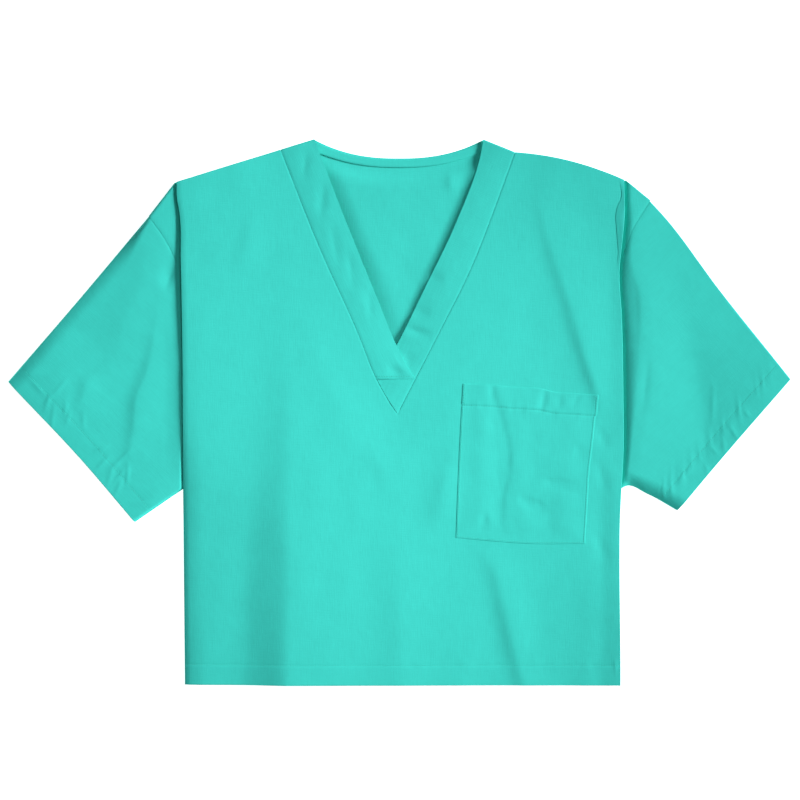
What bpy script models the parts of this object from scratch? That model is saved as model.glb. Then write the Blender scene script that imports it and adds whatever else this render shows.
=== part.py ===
"""Short-sleeved V-neck scrub top, laid flat on the floor with its front up.

Units are metres and +Z is up. The origin is on the floor, in the middle of the
garment's box. +Y points to the neck and +X to the wearer's left sleeve, so the
wearer's right side is at -X. The tables give one side at a time: "out" is the
distance from x = 0 towards that side's sleeve, and "up" is along +Y. A curved
sheet is made as the middle surface of its cloth and then thickened.
"""
from collections import namedtuple
from math import cos, pi, radians, sin, sqrt

import bmesh
import bpy
import numpy as np

# --- driving dimensions -----------------------------------------------------------
LENGTH = 0.681             # neck point to hem
NECK_UP = LENGTH / 2
HEM_UP = -LENGTH / 2
UNDERARM_UP = -0.0965
CUFF_TIP = 0.489           # out to the top corner of each cuff
CENTRE = -0.0018           # x of the V's point, a little to the wearer's right
V_POINT_UP = -0.0024
BAND_END_UP = 0.0411       # where the upper neck band's end is stitched down
BACK_NECK_UP = 0.3173      # middle of the back neck's free edge
BACK_SEAM_UP = 0.3058      # middle of the seam of the back and its neck band

CLOTH = 0.0010             # one layer
BAND = 0.0016              # the neck band, folded double
GAP = 0.0003               # left open along every seam and between resting layers
SEAM_SHIFT = 0.6 * GAP     # each edge of a slanting seam moves sideways by this

# heights of the middle of each layer above the floor
ON_FLOOR = CLOTH / 2
ON_BACK = ON_FLOOR + CLOTH + GAP
BAND_ON_BACK = CLOTH + 2 * GAP + BAND / 2
RETURN = 0.0042            # cloth turned in under the body's edge, over the sleeve
OVER_RETURN = RETURN + CLOTH + 2 * GAP
BODY = 0.0046              # the front, away from its edges
EDGE = 0.0092              # the body's rolled edge, over the sleeve
SIDE = 0.0060              # the body's rolled edge, over the side seam
UNDERARM_EASE = 0.0004     # how much further the sleeve stands off the body's corner there
SLEEVE_PUFF = 0.0034       # how far the sleeve stands up beside the body
SLEEVE_RIM = 0.0018        # radius of the sleeve's folded edges
WEDGE_PUFF = 0.0006        # and the cloth between body's edge and armhole seam

LIP = 0.009                # width of cloth past the pleat's inner fold
ROLL = 0.003               # how far the body's edge curls round
EDGE_RISE = (0.060, 0.070)    # the edge climbs from below the underarm, and over what
RETURN_RISE = (0.045, 0.035)  # ... and so does the cloth turned in under it
EDGE_SLOPE = 0.055         # over this distance the front comes down from its edge
NECK_SLOPE = 0.045         # ... and from the V
SHOULDER_ROLL = 0.010      # ... and to the shoulder seam
SLEEVE_SLOPE = 0.016       # the sleeve rises over this distance beside the body
SLEEVE_RIM_SLOPE = 0.025
SLEEVE_RIM_RISE = 0.035    # the folded edges round out over this distance from the seam
CUFF_FLATTER = 0.4         # share of the sleeve's puff that is gone at the cuff
KNEE = 0.27                # share of the wedge's top edge that runs on level
POCKET_LIFT = CLOTH + 2 * GAP
POCKET_BOW = 0.0035        # the pocket's lower edge sags by this

# the back's two neck curves: end out, rise from the middle to there, power of the curve
BACK_SEAM = (0.1120, 0.0228, 2.3)
BACK_EDGE = (0.1055, NECK_UP - BACK_NECK_UP, 2.4)
BACK_NECK_SIDE = 0.1105    # out to where the back's neck seam leaves the shoulder line

LOWER_ROWS = 9             # rows of the front from the hem to the underarm
V_SHARE = 0.224            # share of the way from underarm to shoulder, at the V's point
BAND_END_SHARE = 0.326     # ... and at the upper neck band's end
TOP_SHARE = 0.93           # ... and where the shoulder starts to roll over
UPPER_SHARES = tuple(np.concatenate([
    np.linspace(0, V_SHARE, 4)[:-1],
    np.linspace(V_SHARE, BAND_END_SHARE, 3)[:-1],
    np.linspace(BAND_END_SHARE, TOP_SHARE, 8),
    (0.968, 0.988, 1.0),
]))
FRONT_COLUMNS = tuple(np.linspace(0, 0.91, 15)) + (0.955, 0.985, 1.0)
TURN = (radians(45), radians(90), radians(135))
LIP_COLUMNS = (0.0, KNEE, 0.5, 0.75, 1.0)
RETURN_COLUMNS = (0.0, 0.5, 1.0)
SLEEVE_STATIONS = (0, 0.03, 0.065, 0.1, 0.13, 0.165, 0.22, 0.3, 0.4, 0.53, 0.67, 0.82, 0.93, 1)
BAND_COLUMNS = 4
POCKET_COLUMNS = 9
POCKET_ROWS = 9
BACK_NECK_POINTS = 10

POPLIN = (0.052, 0.640, 0.560, 1.0)
POPLIN_ROUGHNESS = 0.85


# --- curves and folds ---------------------------------------------------------------
def smooth(t):
    """0 below 0, 1 above 1, and an easy curve between them."""
    t = min(max(t, 0.0), 1.0)
    return t * t * (3 - 2 * t)


def round_over(t):
    """A quarter circle: rises steeply from 0 and is level from 1 on."""
    t = min(max(t, 0.0), 1.0)
    return sqrt(1 - (1 - t) ** 2)


def mix(a, b, t):
    return a + (b - a) * t


class Curve:
    """A smooth curve through a few points, read by share of its length or by height."""

    STEPS = 24

    def __init__(self, *points):
        knots = np.array(points, float)
        span = np.linalg.norm(np.diff(knots, axis=0), axis=1)[:, None]
        slope = np.diff(knots, axis=0) / span
        inner = (slope[:-1] * span[1:] + slope[1:] * span[:-1]) / (span[:-1] + span[1:])
        tangent = np.vstack([slope[:1], inner, slope[-1:]])
        t = np.linspace(0, 1, self.STEPS, endpoint=False)[:, None]
        stretches = []
        for k, width in enumerate(span):
            leave = (1 + 2 * t) * (1 - t) ** 2 * knots[k] + t * (1 - t) ** 2 * width * tangent[k]
            meet = t * t * (3 - 2 * t) * knots[k + 1] - t * t * (1 - t) * width * tangent[k + 1]
            stretches.append(leave + meet)
        self.points = np.vstack(stretches + [knots[-1:]])
        steps = np.linalg.norm(np.diff(self.points, axis=0), axis=1)
        self.share = np.concatenate([[0], np.cumsum(steps)]) / steps.sum()
        self.start, self.end = self.points[0], self.points[-1]

    def at(self, share):
        return np.array([np.interp(share, self.share, axis) for axis in self.points.T])

    def out_at(self, up):
        """The distance out at a height, on a curve that only rises."""
        return float(np.interp(up, self.points[:, 1], self.points[:, 0]))


class Fold:
    """A soft ridge, or with a height below 0 a trough, that fades out at both ends."""

    FADE = 0.25

    def __init__(self, width, height, *points):
        self.width = width
        self.height = height
        self.path = Curve(*points)

    def lift(self, x, up):
        away = np.hypot(self.path.points[:, 0] - x, self.path.points[:, 1] - up)
        nearest = int(away.argmin())
        share = self.path.share[nearest]
        fade = smooth(share / self.FADE) * smooth((1 - share) / self.FADE)
        return self.height * fade * float(np.exp(-(away[nearest] / self.width) ** 2))


def lift(folds, x, up):
    return sum(fold.lift(x, up) for fold in folds)


# --- the two sides ------------------------------------------------------------------
# Each curve is a table of (out, up):
#   fold        the body's edge, from the hem: the side, then a roll over the sleeve
#   armhole     the seam of body and sleeve, from the underarm to the shoulder
#   v_seam      the seam of front and neck band, from the V's point
#   band_edge   the free edge of the neck band, from its lower end
#   cuff        from its top corner to the lower one
#   sleeve_top  from the armhole to the cuff's top corner
#   underarm    from the armhole to the cuff's lower corner
# v_height and band_height are tables of (up, height) along the seam and the free
# edge, and bow is how far the shoulder line rises above a straight one.
Side = namedtuple("Side", "sign bow fold armhole v_seam band_edge v_height band_height "
                          "cuff sleeve_top underarm folds")

RIGHT_UNDERARM = (0.2700, UNDERARM_UP)
RIGHT_SHOULDER = (0.3129, 0.2450)
RIGHT = Side(
    sign=-1,
    bow=0.0,
    fold=Curve((0.2679, HEM_UP), RIGHT_UNDERARM, (0.2706, 0.0750), (0.2725, 0.1890),
               (0.2740, 0.2470), (0.2775, 0.2690), (0.2778, 0.2869)),
    armhole=Curve(RIGHT_UNDERARM, (0.2590, -0.0650), (0.2495, 0.0000), (0.2505, 0.0500),
                  (0.2600, 0.1250), (0.2765, 0.1841), (0.2924, 0.2160), RIGHT_SHOULDER),
    v_seam=Curve((-CENTRE, V_POINT_UP), (0.0129, 0.0140), (0.0280, BAND_END_UP),
                 (0.0500, 0.0956), (0.1000, 0.2070), (0.1478, 0.3275)),
    band_edge=Curve((-0.0206, BAND_END_UP), (-0.0130, 0.0520), (0.0031, 0.0831),
                    (0.0255, 0.1375), (0.0750, 0.2600), (0.1055, NECK_UP)),
    v_height=((V_POINT_UP, 0.0042), (BAND_END_UP, 0.0060), (0.2, 0.0064), (NECK_UP, 0.0060)),
    band_height=((BAND_END_UP, 0.0064), (0.0831, 0.0066), (0.2, 0.0090), (NECK_UP, 0.0080)),
    cuff=Curve((CUFF_TIP, 0.0381), (0.3988, -0.0575), (0.3300, -0.1380)),
    sleeve_top=Curve(RIGHT_SHOULDER, (0.4000, 0.1413), (CUFF_TIP, 0.0381)),
    underarm=Curve(RIGHT_UNDERARM, (0.3000, -0.1175), (0.3300, -0.1380)),
    folds=(
        Fold(0.016, -0.0016, (-0.322, 0.240), (-0.361, 0.090), (-0.412, -0.010)),
        Fold(0.015, -0.0014, (-0.290, 0.190), (-0.320, 0.055), (-0.340, -0.090)),
    ),
)

LEFT_UNDERARM = (0.2775, UNDERARM_UP)
LEFT_SHOULDER = (0.3140, 0.2640)
LEFT = Side(
    sign=1,
    bow=0.0065,
    fold=Curve((0.2762, HEM_UP), LEFT_UNDERARM, (0.2797, -0.0600), (0.2799, 0.0250),
               (0.2782, 0.1150), (0.2753, 0.1800), (0.2783, 0.2100), (0.2812, 0.2400),
               (0.2808, 0.2895)),
    armhole=Curve(LEFT_UNDERARM, (0.2660, -0.0650), (0.2560, 0.0000), (0.2570, 0.0600),
                  (0.2640, 0.1250), (0.2761, 0.1803), (0.2896, 0.2238), LEFT_SHOULDER),
    v_seam=Curve((CENTRE, V_POINT_UP), (0.0206, BAND_END_UP), (0.0536, 0.1055),
                 (0.0858, 0.1698), (0.1303, 0.2835), (0.1450, 0.3243)),
    band_edge=Curve((-0.0272, BAND_END_UP), (-0.0031, 0.0831), (0.0313, 0.1525),
                    (0.0734, 0.2413), (0.1006, 0.3156), (0.1056, NECK_UP)),
    v_height=((V_POINT_UP, 0.0042), (0.085, 0.0042), (0.16, 0.0062), (NECK_UP, 0.0060)),
    band_height=((V_POINT_UP, 0.0042), (0.085, 0.0042), (0.2, 0.0090), (NECK_UP, 0.0080)),
    cuff=Curve((CUFF_TIP, 0.0419), (0.4180, -0.0400), (0.3480, -0.1235)),
    sleeve_top=Curve(LEFT_SHOULDER, (0.3279, 0.2488), (0.4013, 0.1518), (CUFF_TIP, 0.0419)),
    underarm=Curve(LEFT_UNDERARM, (0.2840, -0.0930), (0.3110, -0.1030), (0.3480, -0.1235)),
    folds=(
        Fold(0.018, -0.0014, (0.335, 0.190), (0.376, 0.060), (0.392, -0.020)),
    ),
)

# the front's largest drapes: half width, height, then the places each runs through in x and up
FRONT_FOLDS = (
    Fold(0.020, -0.0026, (-0.151, 0.170), (-0.149, 0.000), (-0.163, -0.100), (-0.165, -0.420)),
    Fold(0.040, 0.0014, (-0.108, 0.060), (-0.104, -0.140), (-0.110, -0.420)),
    Fold(0.024, -0.0014, (-0.030, -0.120), (-0.030, -0.420)),
    Fold(0.012, -0.0020, (0.168, 0.260), (0.196, 0.140), (0.222, 0.076), (0.250, 0.000)),
    Fold(0.013, -0.0020, (0.072, -0.150), (0.110, -0.194), (0.128, -0.260), (0.165, -0.420)),
    Fold(0.013, -0.0022, (0.250, -0.080), (0.255, -0.235), (0.250, -0.420)),
    Fold(0.030, 0.0010, (0.060, -0.190), (0.075, -0.420)),
)

# the pocket's corners in x and up, on the wearer's left chest
POCKET_TOP = ((0.0800, 0.0354), (0.2470, 0.0214))
POCKET_FOOT = ((0.0710, -0.1556), (0.2316, -0.1641))


# --- where the seams and edges run -----------------------------------------------------
def inner_up(side, share):
    """Height of a row at the front's inner edge: the centre line, then the V's seam."""
    return float(np.interp(share, (0, V_SHARE, BAND_END_SHARE, 1),
                           (UNDERARM_UP, V_POINT_UP, BAND_END_UP, side.v_seam.end[1])))


def armhole_point(side, share, shift=0.0):
    """A point of the armhole seam, moved off it by shift, away from the body."""
    low, high = side.armhole.start[1], side.armhole.end[1]
    up = mix(low, high, share)
    below, above = max(up - CLOTH, low), min(up + CLOTH, high)
    run = side.armhole.out_at(above) - side.armhole.out_at(below)
    rise = above - below
    length = sqrt(run * run + rise * rise)
    return np.array([side.armhole.out_at(up) + shift * rise / length, up - shift * run / length])


def bow_up(side, share):
    """How far the shoulder line stands above a straight one, share of the way out."""
    return side.bow * max(0.0, 4 * share * (1 - share))


def shoulder_up(side, out):
    """Height of the shoulder line."""
    start, end = side.v_seam.end, side.fold.end
    share = (out - start[0]) / (end[0] - start[0])
    return mix(start[1], end[1], share) + bow_up(side, share)


def climb_by(rise, up):
    """0 well below the underarm and 1 above it; rise gives where it starts and over what."""
    return smooth((up - UNDERARM_UP + rise[0]) / rise[1])


def along(table, up):
    """Reads a table of (up, value)."""
    return float(np.interp(up, *zip(*table)))


# --- the front --------------------------------------------------------------------------
def front_height(side, out, up):
    """Height of the middle of the front's cloth over a place on the floor."""
    height = BODY + lift(FRONT_FOLDS, side.sign * out, up)
    edge = mix(SIDE, EDGE, climb_by(EDGE_RISE, up))
    from_edge = side.fold.out_at(up) - CLOTH / 2 - ROLL - out
    height = mix(edge, height, smooth(from_edge / EDGE_SLOPE))
    if up >= V_POINT_UP:
        from_v = out - side.v_seam.out_at(up)
        height = mix(along(side.v_height, up), height, smooth(from_v / NECK_SLOPE))
    rim = mix(OVER_RETURN, ON_BACK, smooth((from_edge - LIP) / LIP))
    return mix(rim, height, round_over((shoulder_up(side, out) - up) / SHOULDER_ROLL))


def top_layer(side, share, inner, fold):
    """The visible layer of one row, from its inner edge to the start of the rolled edge."""
    points = []
    for column in FRONT_COLUMNS:
        out, up = mix(inner, fold, column)
        up += bow_up(side, column) * share ** 2
        points.append((out, up, front_height(side, out, up)))
    return points


def turned_edge(out, up, top, low):
    """The rolled edge of one row: half an ellipse from the top layer to the return."""
    middle, radius = (top + low) / 2, (top - low) / 2
    return [(out + ROLL * sin(turn), up, middle + radius * cos(turn)) for turn in TURN]


def return_layer(start, end, up, height):
    return [(mix(start, end, column), up, height) for column in RETURN_COLUMNS]


def pleat(side, share, out, up, fold_out):
    """The pleat's inner fold, and the cloth from there to the armhole seam."""
    radius = (RETURN - ON_BACK) / 2
    points = [(out - radius * sin(turn), up, ON_BACK + radius * (1 + cos(turn))) for turn in TURN]
    seam_out, seam_up = armhole_point(side, share, -GAP / 2)
    knee = KNEE * share ** 4
    puff = WEDGE_PUFF * smooth((seam_out - fold_out) / LIP)
    for column in LIP_COLUMNS:
        drop = max(0.0, (column - knee) / (1 - knee))
        points.append((mix(out, seam_out, column), mix(up, seam_up, drop),
                       ON_BACK + puff * sin(pi * column)))
    return points


def front_row(side, share, inner_height, up):
    """One row of half the front, from its inner edge out, round the edge and back in."""
    inner_out = side.sign * CENTRE
    if inner_height > V_POINT_UP:
        inner_out = side.v_seam.out_at(inner_height) + SEAM_SHIFT
    start = side.fold.out_at(up) - CLOTH / 2 - ROLL
    points = top_layer(side, share, np.array([inner_out, inner_height]), np.array([start, up]))
    under = mix(ON_BACK, RETURN, climb_by(RETURN_RISE, up))
    points += turned_edge(start, up, points[-1][2], under)
    seam_out = armhole_point(side, share, -GAP / 2)[0]
    tuck = min(start, seam_out - CLOTH / 2 - ROLL) - LIP + ROLL
    points += return_layer(start, tuck, up, under)
    return points, tuck


def half_front(side):
    """All rows of half the front; None where the pleat's cloth ends at the underarm."""
    rows = []
    hidden = len(TURN) + len(LIP_COLUMNS)
    for k in range(LOWER_ROWS):
        up = mix(HEM_UP, UNDERARM_UP, k / LOWER_ROWS)
        rows.append(front_row(side, 0, up, up)[0] + [None] * hidden)
    for share in UPPER_SHARES:
        up = mix(UNDERARM_UP, side.fold.end[1], share)
        row, tuck = front_row(side, share, inner_up(side, share), up)
        rows.append(row + pleat(side, share, tuck, up, side.fold.out_at(up)))
    return [[on_side(side, point) for point in row] for row in rows]


# --- the sleeves ----------------------------------------------------------------------------
def sleeve_place(side, station, share):
    """A place on the sleeve: station runs from armhole to cuff, share from underarm to top."""
    across = 1 - share
    root = armhole_point(side, share, GAP / 2 + UNDERARM_EASE * across ** 8)
    edges = mix(side.sleeve_top.at(station), side.underarm.at(station), across)
    seam_corners = mix(side.armhole.end, side.armhole.start, across)
    cuff_corners = mix(side.cuff.start, side.cuff.end, across)
    corners = mix(seam_corners, cuff_corners, station)
    return mix(root, side.cuff.at(across), station) + edges - corners


def sleeve_height(side, place, station, from_root, from_rim, rim):
    """Height of the middle of the sleeve's upper layer."""
    out, up = place
    beside = smooth((out - side.fold.out_at(up) - GAP) / SLEEVE_SLOPE)
    puff = SLEEVE_PUFF * (1 - CUFF_FLATTER * station) * beside * smooth(from_root / SLEEVE_SLOPE)
    height = ON_BACK + puff + lift(side.folds, side.sign * out, up) * beside
    return mix(rim, max(height, ON_BACK), smooth(from_rim / SLEEVE_RIM_SLOPE))


def sleeve_ring(side, station):
    """A closed ring round the flattened sleeve, from the top fold over the upper layer."""
    places = [sleeve_place(side, station, share) for share in reversed(UPPER_SHARES)]
    from_root = station * np.linalg.norm(side.cuff.start - side.sleeve_top.start)
    radius = mix((ON_BACK - ON_FLOOR) / 2, SLEEVE_RIM, smooth(from_root / SLEEVE_RIM_RISE))
    rim = ON_FLOOR + 2 * radius
    ends = []
    for end, neighbour in ((0, 1), (-1, -2)):
        outward = places[end] - places[neighbour]
        outward /= np.linalg.norm(outward)
        places[end] = places[end] - outward * (radius + CLOTH / 2)
        ends.append(outward)
    upper = []
    for place in places:
        from_rim = min(np.linalg.norm(place - places[0]), np.linalg.norm(place - places[-1]))
        height = sleeve_height(side, place, station, from_root, from_rim, rim)
        upper.append((*place, height))
    lower = [(*place, ON_FLOOR) for place in reversed(places)]

    def arc(place, outward, turns):
        return [(*(place + outward * radius * sin(turn)), ON_FLOOR + radius * (1 + cos(turn)))
                for turn in turns]

    ring = (upper + arc(places[-1], ends[1], TURN)
            + lower + arc(places[0], ends[0], reversed(TURN)))
    return ring + ring[:1]


def sleeve(side):
    rings = [sleeve_ring(side, station) for station in SLEEVE_STATIONS]
    return [[on_side(side, point) for point in ring] for ring in rings]


# --- the neck bands ---------------------------------------------------------------------------
def band_place(side, share, column, lowest):
    """A place on a neck band; column runs from its seam to its free edge."""
    up = inner_up(side, share)
    start = np.array([side.v_seam.out_at(up) - SEAM_SHIFT, up])
    climb = (up - lowest) / (side.v_seam.end[1] - lowest)
    edge_up = mix(side.band_edge.start[1], side.band_edge.end[1], climb)
    return mix(start, np.array([side.band_edge.out_at(edge_up), edge_up]), column)


def band_height(side, place, column):
    seam_height, edge_height = along(side.v_height, place[1]), along(side.band_height, place[1])
    top = mix(side.v_seam.end[1], side.band_edge.end[1], column)
    turned = round_over((top - place[1]) / SHOULDER_ROLL)
    return mix(BAND_ON_BACK, mix(seam_height, edge_height, column), turned)


def v_point_row(side, other):
    """The lower band's end, along the other side's seam from the V's point."""
    shares = [share for share in UPPER_SHARES if V_SHARE <= share <= BAND_END_SHARE]
    ups = [inner_up(other, share) for share in shares]
    outs = [other.v_seam.out_at(up) - 2 * SEAM_SHIFT for up in ups]
    row = [(CENTRE * side.sign, V_POINT_UP + 2 * GAP)]
    for k in range(1, BAND_COLUMNS + 1):
        up = mix(V_POINT_UP, BAND_END_UP, k / BAND_COLUMNS)
        row.append((-float(np.interp(up, ups, outs)), up))
    return [(*place, along(side.v_height, V_POINT_UP)) for place in row]


def neck_band(side, other=None):
    """Rows of a band from its lower end to the shoulder; other is the side it runs on to."""
    first = BAND_END_SHARE if other is None else V_SHARE
    lowest = inner_up(side, first)
    columns = np.linspace(0, 1, BAND_COLUMNS + 1)
    rows = []
    for share in UPPER_SHARES:
        if share < first or (other and share == first):
            continue
        places = [band_place(side, share, column, lowest) for column in columns]
        rows.append([(*place, band_height(side, place, column))
                     for place, column in zip(places, columns)])
    if other:
        rows.insert(0, v_point_row(side, other))
    return [[on_side(side, point) for point in row] for row in rows]


# --- the back, its neck band and the pocket ------------------------------------------------------
def back_neck_curve(middle_up, curve, shift=0.0):
    """Half of a back neckline, from the middle out, moved up by shift."""
    end_out, rise, power = curve
    outs = np.linspace(0, end_out, BACK_NECK_POINTS)
    return [(out, middle_up + rise * (out / end_out) ** power + shift) for out in outs]


def side_outline(side):
    """The back's outline on one side, from the hem up to the neck."""
    outline = [(side.fold.out_at(up), up) for up in np.linspace(HEM_UP, UNDERARM_UP, 4)[:-1]]
    outline += [tuple(armhole_point(side, share, -GAP / 2)) for share in UPPER_SHARES]
    start = side.fold.end[0] - CLOTH / 2 - LIP
    level = mix(start, side.armhole.end[0], KNEE)
    outline.append((level, side.fold.end[1]))
    neck_side = side.v_seam.end[0]
    for out in (side.fold.end[0], (neck_side + side.fold.end[0]) / 2, neck_side, BACK_NECK_SIDE):
        outline.append((out, shoulder_up(side, out)))
    return outline


def back_outline():
    left = side_outline(LEFT)
    right = side_outline(RIGHT)
    neck = back_neck_curve(BACK_SEAM_UP, BACK_SEAM, -GAP)
    left += reversed(neck[1:])
    right += reversed(neck)
    return left + [(-out, up) for out, up in reversed(right)]


def back_band_outline():
    free_edge = back_neck_curve(BACK_NECK_UP, BACK_EDGE)
    half = back_neck_curve(BACK_SEAM_UP, BACK_SEAM)[1:-1] + list(reversed(free_edge))[:-1]
    middle = [(0.0, BACK_SEAM_UP)]
    return middle + half + [(0.0, BACK_NECK_UP)] + [(-out, up) for out, up in reversed(half)]


def pocket():
    """The patch pocket, made from the front's own heights moved up."""
    rows = []
    for row in np.linspace(0, 1, POCKET_ROWS + 1):
        places = []
        for column in np.linspace(0, 1, POCKET_COLUMNS + 1):
            foot = mix(np.array(POCKET_FOOT[0]), np.array(POCKET_FOOT[1]), column)
            top = mix(np.array(POCKET_TOP[0]), np.array(POCKET_TOP[1]), column)
            out, up = mix(foot, top, row)
            up -= POCKET_BOW * 4 * column * (1 - column) * (1 - row)
            places.append((out, up, front_height(LEFT, out, up) + POCKET_LIFT))
        rows.append(places)
    return rows


# --- making the objects -----------------------------------------------------------------------------
def on_side(side, point):
    """A point given as (out, up, height), on its own side of the top."""
    return point and (side.sign * point[0], point[1], point[2])


def add_sheet(bm, rows):
    """Adds a grid whose corners are rows of points; None leaves that corner out."""
    across, along_rows = len(rows[0]) - 1, len(rows) - 1
    made = bmesh.ops.create_grid(bm, x_segments=across, y_segments=along_rows, size=0.5)
    unused = []
    for vert in made["verts"]:
        point = rows[round((vert.co.y + 0.5) * along_rows)][round((vert.co.x + 0.5) * across)]
        if point is None:
            unused.append(vert)
        else:
            vert.co = point
    bmesh.ops.delete(bm, geom=unused, context='VERTS')


def finish(obj, collection, colour):
    material = bpy.data.materials.new(obj.name)
    material.use_nodes = True
    shader = material.node_tree.nodes["Principled BSDF"]
    shader.inputs["Base Color"].default_value = colour
    shader.inputs["Roughness"].default_value = POPLIN_ROUGHNESS
    obj.data.materials.append(material)
    collection.objects.link(obj)


def sewn_sheet(name, collection, sheets, thickness):
    """One piece of cloth made from sheets that meet edge to edge."""
    bm = bmesh.new()
    for rows in sheets:
        add_sheet(bm, rows)
    bmesh.ops.remove_doubles(bm, verts=bm.verts, dist=1e-6)
    bmesh.ops.recalc_face_normals(bm, faces=bm.faces)
    mesh = bpy.data.meshes.new(name)
    bm.to_mesh(mesh)
    bm.free()
    mesh.shade_smooth()
    obj = bpy.data.objects.new(name, mesh)
    cloth = obj.modifiers.new("cloth", 'SOLIDIFY')
    cloth.thickness = thickness
    cloth.offset = 0.0
    cloth.use_even_offset = True
    cloth.use_quality_normals = True
    finish(obj, collection, POPLIN)


def flat_sheet(name, collection, outline):
    """A piece of cloth that lies flat on the floor."""
    curve = bpy.data.curves.new(name, 'CURVE')
    curve.dimensions = '2D'
    curve.fill_mode = 'BOTH'
    curve.extrude = CLOTH / 2
    spline = curve.splines.new('POLY')
    spline.points.add(len(outline) - 1)
    spline.use_cyclic_u = True
    for point, (x, y) in zip(spline.points, outline):
        point.co = (x, y, 0.0, 1.0)
    obj = bpy.data.objects.new(name, curve)
    obj.location.z = ON_FLOOR
    finish(obj, collection, POPLIN)


def clear_scene():
    for obj in list(bpy.data.objects):
        bpy.data.objects.remove(obj, do_unlink=True)


def main():
    clear_scene()
    top = bpy.data.collections.new("scrub_top")
    bpy.context.scene.collection.children.link(top)
    flat_sheet("back_panel", top, back_outline())
    flat_sheet("back_neck_band", top, back_band_outline())
    sewn_sheet("sleeve_right", top, [sleeve(RIGHT)], CLOTH)
    sewn_sheet("sleeve_left", top, [sleeve(LEFT)], CLOTH)
    sewn_sheet("front_panel", top, [half_front(RIGHT), half_front(LEFT)], CLOTH)
    sewn_sheet("neck_band_left", top, [neck_band(LEFT, other=RIGHT)], BAND)
    sewn_sheet("neck_band_right", top, [neck_band(RIGHT)], BAND)
    sewn_sheet("chest_pocket", top, [pocket()], CLOTH)


main()
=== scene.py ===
"""A short-sleeved V-neck scrub top in turquoise poplin, laid flat with its front up.

Lengths are millimetres; the pieces are made in metres. x runs towards the wearer's left
sleeve, y towards the neck and z up from the floor. The tables give one side at a time:
"out" is the distance from x = 0 towards that side's sleeve, and "up" is along y.
"""
from collections import namedtuple
from math import pi, radians

import bmesh
import bpy
import numpy as np
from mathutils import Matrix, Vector
from numpy.linalg import norm


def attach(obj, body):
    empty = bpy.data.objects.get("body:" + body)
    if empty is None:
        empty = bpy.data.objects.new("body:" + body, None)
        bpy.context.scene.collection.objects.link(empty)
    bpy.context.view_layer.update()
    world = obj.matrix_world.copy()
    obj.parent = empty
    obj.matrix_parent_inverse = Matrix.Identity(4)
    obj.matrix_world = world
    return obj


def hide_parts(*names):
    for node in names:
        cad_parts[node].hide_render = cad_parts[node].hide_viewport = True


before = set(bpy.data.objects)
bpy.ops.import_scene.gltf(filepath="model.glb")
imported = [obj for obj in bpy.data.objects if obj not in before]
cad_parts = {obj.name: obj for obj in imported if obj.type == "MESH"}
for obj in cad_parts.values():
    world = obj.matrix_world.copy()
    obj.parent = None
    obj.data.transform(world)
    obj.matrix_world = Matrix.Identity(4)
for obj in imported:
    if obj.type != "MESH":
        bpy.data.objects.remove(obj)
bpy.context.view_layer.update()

METRE = 1000

# --- sizes, the same as the solids' ---
LENGTH = 681
NECK_UP = LENGTH / 2
HEM_UP = -LENGTH / 2
UNDERARM_UP = -96.5
CUFF_TIP = 489  # from the middle
CENTRE = -1.8  # x of the front's middle line
V_POINT_UP = -2.4
BAND_END_UP = 41.1  # the lower end of the band on the wearer's right
BACK_NECK_UP = 317.3  # the neckline at the middle of the back
BACK_SEAM_UP = 305.8  # the seam of its band there

CLOTH = 1  # thickness of a solid's cloth
BAND = 1.6
SHELL = 0.4  # thickness of the cloth that shows
BAND_SHELL = 0.5
POCKET_SHELL = 0.25
GAP = 0.3  # between pieces sewn together
TUCK = 1.4  # a lower layer's reach past a seam above it
SEAM_SHIFT = 0.6 * GAP

# heights of the middle of the cloth
ON_FLOOR = CLOTH / 2
ON_BACK = ON_FLOOR + CLOTH + GAP
LOWEST = ON_BACK + 0.2  # of the front's upper layer
BAND_ON_BACK = CLOTH + 2 * GAP + BAND / 2
RETURN = 4.2  # of the cloth turned in at the front's edge
OVER_RETURN = RETURN + CLOTH + 2 * GAP
BODY = 9.8
EDGE = 11.6  # at the front's edge, above the underarm
POCKET_LIFT = (SHELL + POCKET_SHELL) / 2 + GAP / 3

LIP = 9  # the pleat's reach in past the nearer of edge and seam
ROLL = 0.2  # how far the front's edge bulges
EDGE_RISE = (60, 70)  # start below the underarm's height, and width, of a rise
RETURN_RISE = (45, 35)
EDGE_SLOPE = 120  # widths over which the front's height changes
NECK_SLOPE = 70
SHOULDER_ROLL = 0.4
SLEEVE_RIM_RISE = 35
CUFF_FLATTER = 0.25  # the puff is less by this share at the cuff
FAR = 160  # distance from the gap at which the puff has fallen
FOOT = 0.07  # share of the steep rise beside the gap that is concave
KNEE = 0.27  # share of the pleat's top that runs level

# half the width, rise and power of the curves of the back's seam and neckline
BACK_SEAM = (112, 22.8, 2.3)
BACK_EDGE = (105.5, NECK_UP - BACK_NECK_UP, 2.4)

# --- sewing ---
HEM = 25  # width of the hems of cuffs and body
POCKET_HEM = 26.5
HEM_RISE = 0.2  # a hem stands up by the cloth folded inside it
SEAM_DIP = 0.2  # the cloth dips to each seam,
SEAM_WIDTH = 1.4  # over this far from it,
STITCH_WIDTH = 1.2  # and over this far from a line of stitches
POCKET_STITCH = 1.8  # from the pocket's edge to its stitches
TACK = 2.2  # width of a bartack
STITCH = 2.4  # length of a stitch
PITCH = 3.1  # from one stitch to the next
THREAD = 0.22  # its radius
ALLOWANCE_FROM = 0.70  # share of the armhole's seam from which its allowance shows

# shares of the rows from underarm to shoulder at the V's point and the band's end
V_SHARE = 0.224
BAND_END_SHARE = 0.326
ROW_STEP = 3.1


# --- curves and folds ---
def smooth(t):
    t = np.clip(t, 0.0, 1.0)
    return t * t * (3 - 2 * t)


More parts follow.
